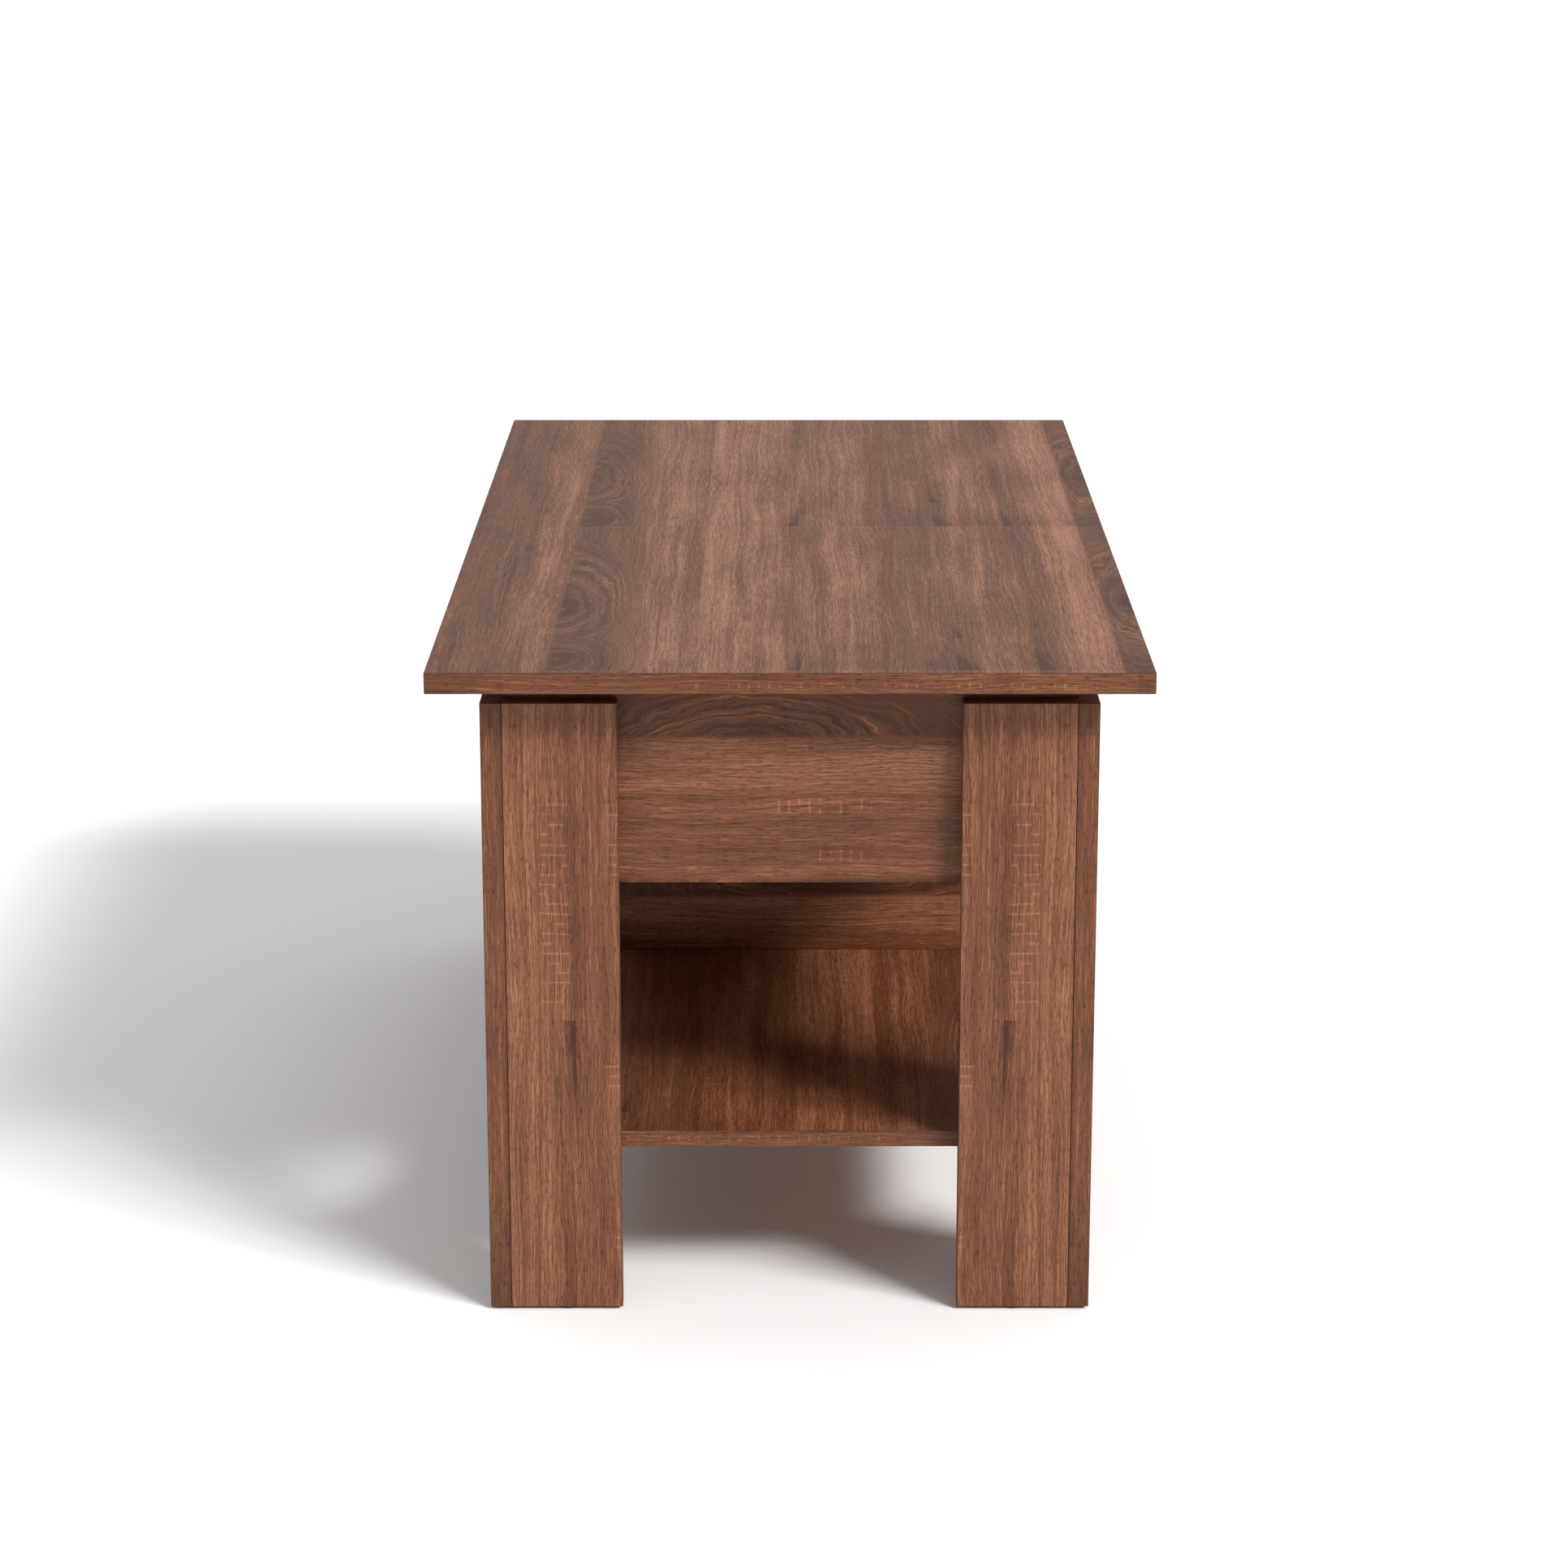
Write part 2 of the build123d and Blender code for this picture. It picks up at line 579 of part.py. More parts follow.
with BuildPart() as spring_posts:
    for end in ENDS.values():
        start = (SPRING_POST[0], end * PLATE_FACE, SPRING_POST[1])
        rod(start, (0, -end, 0), POST_RADIUS, POST_LENGTH)
save(spring_posts, "spring_posts")

with BuildPart() as plate_screw_set:
    for end in ENDS.values():
        for start, direction in plate_screws(end):
            pan_screw(start, direction, PLATE_THICK + BITE)
save(plate_screw_set, "lift_plate_screws")

with BuildPart() as rail_screw_set:
    for end in ENDS.values():
        for start, direction in rail_screws(end):
            pan_screw(start, direction, LINK_THICK + BITE)
save(rail_screw_set, "top_rail_screws")
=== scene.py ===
import math

import bpy
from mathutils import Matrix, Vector


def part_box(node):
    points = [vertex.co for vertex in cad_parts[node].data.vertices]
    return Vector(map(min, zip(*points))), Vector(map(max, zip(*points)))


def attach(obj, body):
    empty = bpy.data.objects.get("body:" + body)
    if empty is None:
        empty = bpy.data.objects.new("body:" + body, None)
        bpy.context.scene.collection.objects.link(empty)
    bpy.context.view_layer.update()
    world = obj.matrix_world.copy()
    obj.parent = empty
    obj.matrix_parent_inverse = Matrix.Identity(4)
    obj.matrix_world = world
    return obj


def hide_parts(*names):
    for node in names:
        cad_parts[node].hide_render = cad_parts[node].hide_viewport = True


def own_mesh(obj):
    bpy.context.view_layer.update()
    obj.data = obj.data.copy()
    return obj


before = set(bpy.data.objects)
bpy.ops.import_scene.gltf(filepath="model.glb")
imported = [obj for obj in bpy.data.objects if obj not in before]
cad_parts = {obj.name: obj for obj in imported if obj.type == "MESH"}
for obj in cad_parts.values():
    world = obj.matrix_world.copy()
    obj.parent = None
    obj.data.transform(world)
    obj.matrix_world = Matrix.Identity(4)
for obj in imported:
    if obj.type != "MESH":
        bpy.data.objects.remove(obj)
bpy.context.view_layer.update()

# ------------------------------------------------------------------------------------------------
# Studio: a white floor that runs out of sight, one long softbox at the front right, and a pale
# room that fills the shadows. The camera stands in front of the table's near end, looking along it.

MM = 0.001
CAMERA_PLACE = Vector((-0.0041, -3.201, 1.1404))
CAMERA_TILT = 15.23  # degrees below level
CAMERA_LENS = 94.07  # mm, on a 36 mm sensor
KEY_ROUND = (40, 47, 54, 61)  # degrees from straight in front, towards the right
KEY_RISE = 37  # degrees above level
KEY_SPREAD = 9  # degrees that each part of the softbox fills, seen from the table
KEY_POWER = 3.4  # watts on each square metre that faces it
ROOM_FRONT = 0.18  # how bright the room is on the camera's side
ROOM_BACK = 0.54  # and behind the table
ROOM_ABOVE = 0.68  # added overhead, where a second softbox hangs
FLOOR_SIZE = 240  # metres, so that its far edge is out of sight
FLOOR_WHITE = "fdfdfd"
EASED = {"interpolation_type": "SMOOTHSTEP"}  # a range that starts and ends gently


def linear(colour):
    """The linear RGBA of an sRGB hex colour such as "8a5f48"."""
    parts = [int(colour[i : i + 2], 16) / 255 for i in (0, 2, 4)]
    return [p / 12.92 if p <= 0.04045 else ((p + 0.055) / 1.055) ** 2.4 for p in parts] + [1]


def add(tree, kind, inputs=None, out=0, stops=None, **settings):
    """Adds a shader node with its settings, links and colour stops, and returns one of its outputs."""
    made = tree.nodes.new(kind if kind.startswith("NodeGroup") else "ShaderNode" + kind)
    for name, value in settings.items():
        setattr(made, name, value)
    for socket, value in (inputs or {}).items():
        if isinstance(value, bpy.types.NodeSocket):
            tree.links.new(value, made.inputs[socket])
        else:
            made.inputs[socket].default_value = value
    if stops:
        ramp = made.color_ramp
        while len(ramp.elements) < len(stops):
            ramp.elements.new(1)
        for element, (position, value) in zip(ramp.elements, stops):
            element.position = position
            element.color = linear(value) if isinstance(value, str) else (value, value, value, 1)
    return made if out is None else made.outputs[out]


def material(name):
    """A new material with an empty node tree."""
    made = bpy.data.materials.new(name)
    made.use_nodes = True
    made.node_tree.nodes.clear()
    return made, made.node_tree


scene = bpy.context.scene
scene.view_settings.view_transform = "Standard"

lens = bpy.data.cameras.new("camera")
lens.lens = CAMERA_LENS
lens.sensor_width = 36
camera = bpy.data.objects.new("camera", lens)
camera.location = CAMERA_PLACE
camera.rotation_euler = (math.radians(90 - CAMERA_TILT), 0, 0)
scene.collection.objects.link(camera)
scene.camera = camera

# The long softbox is a row of distant discs, so that its light doesn't fade across the floor
key = bpy.data.lights.new("key", "SUN")
key.angle = math.radians(KEY_SPREAD)
key.energy = KEY_POWER / len(KEY_ROUND)
rise = math.radians(KEY_RISE)
for around in KEY_ROUND:
    around = math.radians(around)
    towards = Vector(
        (math.sin(around) * math.cos(rise), -math.cos(around) * math.cos(rise), math.sin(rise))
    )
    key_stand = bpy.data.objects.new("key", key)
    key_stand.rotation_euler = towards.to_track_quat("Z", "Y").to_euler()
    scene.collection.objects.link(key_stand)

room = bpy.data.worlds.new("room")
room.use_nodes = True
tree = room.node_tree
tree.nodes.clear()
# The room brightens from the front to the back, and again overhead
outward = add(tree, "TexCoord", out="Generated")
outward = add(tree, "SeparateXYZ", {0: outward}, out=None).outputs
brightness = add(
    tree,
    "MapRange",
    {
        "Value": outward["Y"],
        "From Min": -0.2,
        "From Max": 0.4,
        "To Min": ROOM_FRONT,
        "To Max": ROOM_BACK,
    },
    **EASED,
)
overhead = add(
    tree,
    "MapRange",
    {"Value": outward["Z"], "From Min": 0.6, "From Max": 0.95, "To Max": ROOM_ABOVE},
    **EASED,
)
brightness = add(tree, "Math", {0: brightness, 1: overhead}, operation="ADD")
glow = add(tree, "Background", {"Color": (1, 1, 1, 1), "Strength": brightness})
add(tree, "OutputWorld", {"Surface": glow}, out=None)
scene.world = room

# Matt white studio vinyl. It gives the table a plain ground with a soft shadow and no texture.
floor_vinyl, tree = material("matt_white_vinyl")
surface = add(
    tree,
    "BsdfPrincipled",
    {"Base Color": linear(FLOOR_WHITE), "Roughness": 0.9, "Specular IOR Level": 0.1},
)
add(tree, "OutputMaterial", {"Surface": surface}, out=None)
half = FLOOR_SIZE / 2
floor_mesh = bpy.data.meshes.new("floor")
floor_mesh.from_pydata(
    [(-half, -half, 0), (half, -half, 0), (half, half, 0), (-half, half, 0)], [], [(0, 1, 2, 3)]
)
floor_mesh.materials.append(floor_vinyl)
floor = bpy.data.objects.new("floor", floor_mesh)
scene.collection.objects.link(floor)

# ------------------------------------------------------------------------------------------------
# Boards: particle board faced with melamine paper that is printed as rough-sawn walnut-brown oak,
# and edged with a strip of the same print. The print is laid out here in millimetres, along and
# across the grain, and each board shows its own window of it.

PRINT_LENGTH = 487.5  # the print repeats after this, which leaves a faint seam across the top
PRINT_WIDTH = 680
# Staves: a millimetre across the grain, and how pale the print is there, from 0 to 1. Two entries
# close together are the line where one stave ends and the next begins.
STAVES = (
    (0, 0.31),
    (46, 0.33),
    (54, 0.48),
    (70, 0.6),
    (82.2, 0.48),
    (82.8, 0.26),
    (120, 0.28),
    (124, 0.4),
    (140, 0.51),
    (160, 0.64),
    (184.7, 0.46),
    (185.3, 0.66),
    (240, 0.58),
    (257.2, 0.4),
    (257.8, 0.48),
    (300, 0.58),
    (328, 0.38),
    (364.7, 0.43),
    (365.3, 0.38),
    (385, 0.58),
    (428, 0.35),
    (460, 0.78),
    (479.7, 0.66),
    (480.3, 0.31),
    (500, 0.31),
    (505, 0.51),
    (545, 0.4),
    (570, 0.66),
    (603.7, 0.51),
    (604.3, 0.31),
    (649.7, 0.31),
    (650.3, 0.43),
)
# Hearts, where the growth rings close on a stave's edge: along, across, and the rings' length for
# each millimetre of their width, one way along the grain and the other
HEARTS = (
    (184, 84, 4.1, 2.5),
    (33, 88, 1.7, 1.7),
    (215, 503, 4.5, 4.5),
    (115, 595, 2.6, 2.2),
)
# Staves that are cut through a heart: a millimetre across the grain, and 1 where rings show
HEART_STAVES = (
    (0, 0),
    (82.2, 0),
    (82.8, 1),
    (122, 1),
    (150, 0),
    (479.7, 0),
    (480.3, 1),
    (500, 1),
    (502, 0),
    (603.7, 0),
    (604.3, 1),
)
HEART_BLEND = 7  # mm, over which the rings of two hearts run together
HEART_FADE = (40, 62)  # mm from a heart, where its rings turn into straight grain
HEART_CORE = (16, 26)  # mm from a heart, where its dark middle fades
RINGS_PER_MM = 0.21
RING_BUCKLE = 13  # mm, how unevenly the rings lie
RING_SWAY = 0.7  # how much of the fibres' sway the rings follow
SWAY = 7  # mm, how far the fibres wander to either side in long waves
TREMBLE = 1.3  # mm, how far they wander in short ones
# Staves that darken towards the start of the print, and how much
DARK_STARTS = (
    (0, 0),
    (82.2, 0),
    (82.8, 1),
    (123, 1),
    (127, 0.1),
    (260, 0.1),
    (330, 1),
    (440, 1),
)
DARK_START_LENGTH = 120  # mm
# Fins of dark gum beside a stave's edge: where each starts and is widest along the grain, the edge,
# and the width to one side of it
FINS = (
    (84, -6, 257.5, -13),
    (18, -20, 257.5, -7),
    (66, -6, 365.5, 22),
    (88, -6, 421, 11),
    (160, 96, 365.5, 9),
)
RAGGED = 11  # mm, how far a fin's ragged edge runs forward or back
# Ladders of pale saw marks: from and to along the grain, then from and to across it
SAW_LADDERS = (
    (318, 484, 232, 255),
    (327, 402, 280, 318),
    (148, 200, 282, 318),
    (30, 56, 276, 316),
    (0, 93, 152, 182),
    (420, 487, 36, 76),
    (395, 470, 446, 470),
    (8, 98, 482, 498),
    (133, 217, 548, 560),
    (160, 207, 513, 523),
    (165, 470, 656, 660),
)
SAW_PITCH = 7.2  # mm from one saw mark to the next
SAW_CROOKED = 3  # mm, how crooked a saw mark is
SAW_MARK = (0.35, 1.1)  # mm from a saw mark's middle, where it starts and stops fading
LADDER_EDGE = (0.8, 1.02)  # shares of a ladder's half size, where its marks fade
PALE_FIBRE = "a56e4f"
MID_FIBRE = "704228"
DARK_FIBRE = "462310"
CORE_AND_PAINTED_SHADE = "40271a"  # the particle board where a bevel or a hole cuts through the paper, painted far darker than it is: painted shade in the holes and a painted shade line along the bevelled edges
FACES_IT = 0.8  # a face belongs to an axis where its normal's share of it is over this
CUT_FACE = 0.95  # and it is a bevel or a hole's wall where its largest share is under this

oak_print = bpy.data.node_groups.new("sawn_oak_print", "ShaderNodeTree")
for name in ("Along", "Across"):
    oak_print.interface.new_socket(name, in_out="INPUT", socket_type="NodeSocketFloat")
for name, kind in (("Colour", "Color"), ("Height", "Float"), ("Roughness", "Float")):
    oak_print.interface.new_socket(name, in_out="OUTPUT", socket_type=f"NodeSocket{kind}")


def layer(tree, place, length, width, detail=2, roughness=0.5):
    """A noise with features about length by width millimetres, along and across the grain."""
    at = add(tree, "VectorMath", {0: place, 1: (1 / length, 1 / width, 0)}, operation="MULTIPLY")
    return add(tree, "TexNoise", {"Vector": at, "Scale": 1, "Detail": detail, "Roughness": roughness})


def draw_oak_print(tree):
    """Draws the print's nodes: staves, hearts, fibres, pores, saw marks and gum marks."""
    given = add(tree, "NodeGroupInput", out=None)
    along = add(tree, "Math", {0: given.outputs["Along"], 1: PRINT_LENGTH, 2: 0}, operation="WRAP")
    across = add(tree, "Math", {0: given.outputs["Across"], 1: PRINT_WIDTH, 2: 0}, operation="WRAP")
    place = add(tree, "CombineXYZ", {0: along, 1: across})
    # The fine grain runs on past the print's repeat, where only the figure starts again
    endless = add(tree, "CombineXYZ", {0: given.outputs["Along"], 1: across})

    # The fibres sway from side to side, in long waves and in a short tremble
    sway = layer(tree, endless, 150, 40, 1)
    sway = add(tree, "Math", {0: sway, 1: 2 * SWAY, 2: -SWAY}, operation="MULTIPLY_ADD")
    tremble = layer(tree, endless, 13, 7, 1)
    sway = add(tree, "Math", {0: tremble, 1: TREMBLE, 2: sway}, operation="MULTIPLY_ADD")
    fibre_across = add(tree, "Math", {0: across, 1: sway}, operation="ADD")

    # Growth rings round the nearest heart. Its distance is in millimetres across the grain,
    # and the rings buckle a little.
    nearest = None
    for heart_along, heart_across, forward, backward in HEARTS:
        ahead = add(tree, "Math", {0: along, 1: heart_along}, operation="SUBTRACT")
        aside = add(tree, "Math", {0: across, 1: heart_across}, operation="SUBTRACT")
        front = add(tree, "Math", {0: ahead, 1: forward}, operation="DIVIDE")
        back = add(tree, "Math", {0: ahead, 1: -backward}, operation="DIVIDE")
        ahead = add(tree, "Math", {0: front, 1: back}, operation="MAXIMUM")
        shape = add(tree, "CombineXYZ", {0: ahead, 1: aside})
        away = add(tree, "VectorMath", {0: shape}, out="Value", operation="LENGTH")
        if nearest is None:
            nearest = away
        else:
            pair = {0: nearest, 1: away, 2: HEART_BLEND}
            nearest = add(tree, "Math", pair, operation="SMOOTH_MIN")
    ring_across = add(tree, "Math", {0: sway, 1: RING_SWAY, 2: nearest}, operation="MULTIPLY_ADD")
    buckle = layer(tree, place, 30, 13, 1)
    ring_across = add(
        tree, "Math", {0: buckle, 1: RING_BUCKLE, 2: ring_across}, operation="MULTIPLY_ADD"
    )
    # Rings show only on the staves cut through a heart, and fade into straight grain
    share = add(tree, "Math", {0: across, 1: PRINT_WIDTH}, operation="DIVIDE")
    heart_stave = add(
        tree, "ValToRGB", {0: share}, stops=[(start / PRINT_WIDTH, on) for start, on in HEART_STAVES]
    )
    near, far = HEART_FADE
    in_heart = add(tree, "MapRange", {0: nearest, 1: near, 2: far, 3: 1, 4: 0}, **EASED)
    in_heart = add(tree, "Math", {0: in_heart, 1: heart_stave}, operation="MULTIPLY")
    uneven = add(
        tree,
        "TexNoise",
        {"W": ring_across, "Scale": RINGS_PER_MM, "Detail": 2},
        noise_dimensions="1D",
    )
    rings = add(tree, "MapRange", {0: uneven, 1: 0.42, 2: 0.6, 3: -0.5, 4: 0.5}, **EASED)
    rings = add(tree, "Math", {0: rings, 1: in_heart}, operation="MULTIPLY")
    near, far = HEART_CORE
    core = add(tree, "MapRange", {0: nearest, 1: near, 2: far, 3: 1, 4: 0}, **EASED)
    core = add(tree, "Math", {0: core, 1: heart_stave}, operation="MULTIPLY")
    grain_across = add(
        tree, "Mix", {0: in_heart, 2: fibre_across, 3: ring_across}, data_type="FLOAT"
    )
    grain = add(tree, "CombineXYZ", {0: given.outputs["Along"], 1: grain_across})

    # Fibres, the lines they bundle into, broader streaks and soft clouds. Real fibres are 0.1 mm
    # wide, too fine to show, and are drawn at about 1 mm.
    fibres = layer(tree, grain, 24, 0.85, 2, 0.6)
    lines = layer(tree, grain, 300, 2.1, 2)
    streaks = layer(tree, grain, 330, 9, 1)
    clouds = layer(tree, endless, 130, 30, 1)

    # Pores are short dark dashes. Real ones are 0.2 mm wide, and are drawn at 0.8 mm so they show.
    pores = layer(tree, grain, 6, 0.8, 1)
    pores = add(tree, "MapRange", {0: pores, 1: 0.54, 2: 0.68}, **EASED)

    stave = add(
        tree, "ValToRGB", {0: share}, stops=[(start / PRINT_WIDTH, pale) for start, pale in STAVES]
    )

    # Saw marks: one thin pale bar each pitch, a little crooked, and worn away in places
    inside = None
    for start, stop, left, right in SAW_LADDERS:
        half_size = ((stop - start) / 2, (right - left) / 2)
        middle = (-(start + stop) / 2 / half_size[0], -(left + right) / 2 / half_size[1], 0)
        shape = (1 / half_size[0], 1 / half_size[1], 0)
        reach = add(tree, "VectorMath", {0: place, 1: shape, 2: middle}, operation="MULTIPLY_ADD")
        reach = add(tree, "VectorMath", {0: reach}, operation="ABSOLUTE")
        reach = add(tree, "SeparateXYZ", {0: reach}, out=None).outputs
        reach = add(tree, "Math", {0: reach["X"], 1: reach["Y"]}, operation="MAXIMUM")
        if inside is None:
            inside = reach
        else:
            inside = add(tree, "Math", {0: inside, 1: reach}, operation="MINIMUM")
    near, far = LADDER_EDGE
    ladders = add(tree, "MapRange", {0: inside, 1: near, 2: far, 3: 1, 4: 0}, **EASED)
    crooked = layer(tree, place, 60, 45, 1)
    crooked = add(tree, "Math", {0: crooked, 1: SAW_CROOKED, 2: along}, operation="MULTIPLY_ADD")
    bar = add(tree, "Math", {0: crooked, 1: SAW_PITCH / 2}, operation="PINGPONG")
    near, far = SAW_MARK
    bars = add(tree, "MapRange", {0: bar, 1: near, 2: far, 3: 1, 4: 0}, **EASED)
    worn = layer(tree, place, 7, 12, 1)
    worn = add(tree, "MapRange", {0: worn, 1: 0.42, 2: 0.56}, **EASED)
    saw_marks = add(tree, "Math", {0: ladders, 1: bars}, operation="MULTIPLY")
    saw_marks = add(tree, "Math", {0: saw_marks, 1: worn}, operation="MULTIPLY")

    # Gum: fins that widen along the grain and then stop short, with ragged edges
    gum = None
    ragged = layer(tree, place, 9, 2.5, 1)
    ragged = add(tree, "Math", {0: ragged, 1: 2 * RAGGED, 2: -RAGGED}, operation="MULTIPLY_ADD")
    ragged = add(tree, "Math", {0: along, 1: ragged}, operation="ADD")
    for start, stop, edge, width in FINS:
        widening = add(tree, "MapRange", {"Value": ragged, "From Min": start, "From Max": stop})
        inward = add(tree, "Math", {0: across, 1: edge}, operation="SUBTRACT")
        inward = add(tree, "Math", {0: inward, 1: width}, operation="DIVIDE")
        room_left = add(tree, "Math", {0: widening, 1: inward}, operation="SUBTRACT")
        beside = add(tree, "Math", {0: inward, 1: 0}, operation="GREATER_THAN")
        ahead = add(tree, "Math", {0: along, 1: stop}, operation="GREATER_THAN")
        fin = add(tree, "MapRange", {0: room_left, 1: 0, 2: 0.5}, **EASED)
        fin = add(tree, "Math", {0: fin, 1: beside}, operation="MULTIPLY")
        fin = add(tree, "Math", {0: fin, 1: ahead}, operation="MULTIPLY")
        gum = fin if gum is None else add(tree, "Math", {0: gum, 1: fin}, operation="MAXIMUM")

    # The gum soaks along the fibres in dashes
    soaked = layer(tree, endless, 22, 1.5, 1)
    soaked = add(tree, "MapRange", {0: soaked, 1: 0.36, 2: 0.58, 3: 0.4}, **EASED)
    gum = add(tree, "Math", {0: gum, 1: soaked}, operation="MULTIPLY")

    # Each layer moves the tone up or down from the stave's own: the layer's middle value, and how
    # far one whole step of it moves the tone
    dark_start = add(
        tree, "MapRange", {0: along, 1: 0, 2: DARK_START_LENGTH, 3: 1, 4: 0}, **EASED
    )
    dark_stave = add(
        tree, "ValToRGB", {0: share}, stops=[(start / PRINT_WIDTH, on) for start, on in DARK_STARTS]
    )
    dark_start = add(tree, "Math", {0: dark_start, 1: dark_stave}, operation="MULTIPLY")
    tone = stave
    for part, middle, weight in (
        (clouds, 0.5, 0.5),
        (streaks, 0.5, 0.52),
        (lines, 0.5, 0.7),
        (fibres, 0.5, 1.25),
        (pores, 0.13, -0.32),
        (rings, 0, 0.26),
        (core, 0, -0.14),
        (saw_marks, 0, 0.25),
        (gum, 0, -0.56),
        (dark_start, 0, -0.12),
    ):
        step = add(tree, "Math", {0: part, 1: middle}, operation="SUBTRACT")
        tone = add(tree, "Math", {0: step, 1: weight, 2: tone}, operation="MULTIPLY_ADD")
    colour = add(
        tree, "ValToRGB", {0: tone}, stops=[(0, DARK_FIBRE), (0.5, MID_FIBRE), (1, PALE_FIBRE)]
    )
    height = add(tree, "Math", {0: fibres, 1: pores}, operation="SUBTRACT")
    roughness = add(tree, "MapRange", {"Value": tone, "To Min": 0.5, "To Max": 0.4})
    add(tree, "NodeGroupOutput", {0: colour, 1: height, 2: roughness}, out=None)


draw_oak_print(oak_print)


def melamine(name, along, across, window, turned=(1, 1), mirrored=False, strip=-95):
    """Melamine paper over particle board: a matt print with a faint sheen at low angles, and edges
    in the same print. along and across are the board's axes that the print follows,
    window is the print's millimetre at the frame's zero, and turned runs the print backwards on an
    axis. Edges show a strip of the print, set by its millimetre at the frame's zero. On a mirrored
    pair of boards the print runs outwards from the middle."""
    made, tree = material(name)
    place = add(tree, "TexCoord", out="Object")
    place = add(tree, "VectorMath", {0: place, "Scale": 1 / MM}, operation="SCALE")
    axes = add(tree, "SeparateXYZ", {0: place}, out=None).outputs
    facing = add(tree, "NewGeometry", out="Normal")
    facing = add(tree, "VectorMath", {0: facing}, operation="ABSOLUTE")
    faces = add(tree, "SeparateXYZ", {0: facing}, out=None).outputs
    thick = ({"X", "Y", "Z"} - {along, across}).pop()
    side = axes[across]
    if mirrored:
        side = add(tree, "Math", {0: side}, operation="ABSOLUTE")
    end_cut = add(tree, "Math", {0: faces[along], 1: FACES_IT}, operation="GREATER_THAN")
    long_edge = add(tree, "Math", {0: faces[across], 1: FACES_IT}, operation="GREATER_THAN")
    any_edge = add(tree, "Math", {0: end_cut, 1: long_edge}, operation="MAXIMUM")
    run = add(
        tree, "Math", {0: axes[along], 1: turned[0], 2: window[0]}, operation="MULTIPLY_ADD"
    )
    step = add(tree, "Math", {0: side, 1: turned[1], 2: window[1]}, operation="MULTIPLY_ADD")
    through = add(tree, "Math", {0: axes[thick]}, operation="ABSOLUTE")
    strip_step = add(tree, "Math", {0: through, 1: strip}, operation="ADD")
    run = add(tree, "Mix", {0: end_cut, 2: run, 3: step}, data_type="FLOAT")
    step = add(tree, "Mix", {0: any_edge, 2: step, 3: strip_step}, data_type="FLOAT")
    printed = add(tree, "Group", out=None, node_tree=oak_print)
    tree.links.new(run, printed.inputs["Along"])
    tree.links.new(step, printed.inputs["Across"])
    # Bevelled corners and drilled holes are cut through the paper down to the core, which is painted
    # dark brown as painted shade on the holes' walls and a painted dark crease line along the edges
    squarest = add(tree, "Math", {0: faces["X"], 1: faces["Y"]}, operation="MAXIMUM")
    squarest = add(tree, "Math", {0: squarest, 1: faces["Z"]}, operation="MAXIMUM")
    # Where the dark core colour goes: bevels and hole walls, as painted shade
    bevel_and_hole_shade = add(tree, "Math", {0: squarest, 1: CUT_FACE}, operation="LESS_THAN")
    colour = add(
        tree,
        "Mix",
        {0: bevel_and_hole_shade, 6: printed.outputs["Colour"], 7: linear(CORE_AND_PAINTED_SHADE)},
        out=2,
        data_type="RGBA",
    )
    # The paper's pores are pressed in a few hundredths of a millimetre deep
    relief = add(
        tree,
        "Bump",
        {"Height": printed.outputs["Height"], "Strength": 0.4, "Distance": 0.15 * MM},
    )
    surface = add(
        tree,
        "BsdfPrincipled",
        {
            "Base Color": colour,
            "Roughness": printed.outputs["Roughness"],
            "Normal": relief,
            "IOR": 1.5,
            "Specular IOR Level": 0.33,
        },
    )
    add(tree, "OutputMaterial", {"Surface": surface}, out=None)
    return made


def finish_with(finish, *names):
    """Gives parts a finish."""
    for name in names:
        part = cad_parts[name]
        part.data.materials.clear()
        part.data.materials.append(finish)


# ------------------------------------------------------------------------------------------------
# Top: one 15 mm board, 975 by 500, screwed from below to the rails of the lift. The print's staves
# run down its length, and the print repeats once, so a seam crosses it near the middle.

finish_with(melamine("top_melamine", "Y", "X", (-7.5, 250), strip=187), "table_top")

# ------------------------------------------------------------------------------------------------
# Legs: two boards each, dowelled and glued into an L, and screwed to the box from inside it. Their
# grain is upright. The boards of the left and right legs are cut as mirrored pairs, so their
# figure matches across the table.

leg_end_melamine = melamine(
    "leg_end_melamine", "Z", "X", (706.5, 408.5), turned=(-1, -1), mirrored=True, strip=-60
)
leg_side_melamine = melamine("leg_side_melamine", "Z", "Y", (25, -80), mirrored=True, strip=130)
for end in ("near", "far"):
    for side in ("left", "right"):
        finish_with(leg_end_melamine, f"leg_{end}_{side}_end_board")
        finish_with(leg_side_melamine, f"leg_{end}_{side}_side_board")

# ------------------------------------------------------------------------------------------------
# Box: four panels and a floor of the same board. Cams and dowels join the panels at the corners,
# and dowels hold the floor between them. The panels' grain runs level, round the box.

end_panel_melamine = melamine("end_panel_melamine", "X", "Z", (150, 182), strip=-60)
finish_with(end_panel_melamine, "end_panel_near", "end_panel_far")
side_panel_melamine = melamine("side_panel_melamine", "Y", "Z", (60, -130))
finish_with(side_panel_melamine, "side_panel_left", "side_panel_right")
finish_with(melamine("box_floor_melamine", "Y", "X", (200, 250)), "box_floor")

# ------------------------------------------------------------------------------------------------
# Shelf and divider: the shelf is screwed to the legs with brackets, and its grain runs down the
# table. The divider is screwed between shelf and box, and its grain runs level, across the table.

shelf_melamine = melamine("shelf_melamine", "Y", "X", (7.5, 250), turned=(1, -1), strip=533)
finish_with(shelf_melamine, "shelf")
divider_melamine = melamine("divider_melamine", "X", "Z", (150, 303))
finish_with(divider_melamine, "shelf_divider")

# ------------------------------------------------------------------------------------------------
# Dowels: pegs turned from beech, and glued into holes in both boards where the legs, the corners of
# the box and its floor are joined.

BEECH_FLECK = 2.5  # mm, the length of the dark flecks in beech
BEECH_PALE = "cfa67a"
BEECH_DARK = "a97c53"

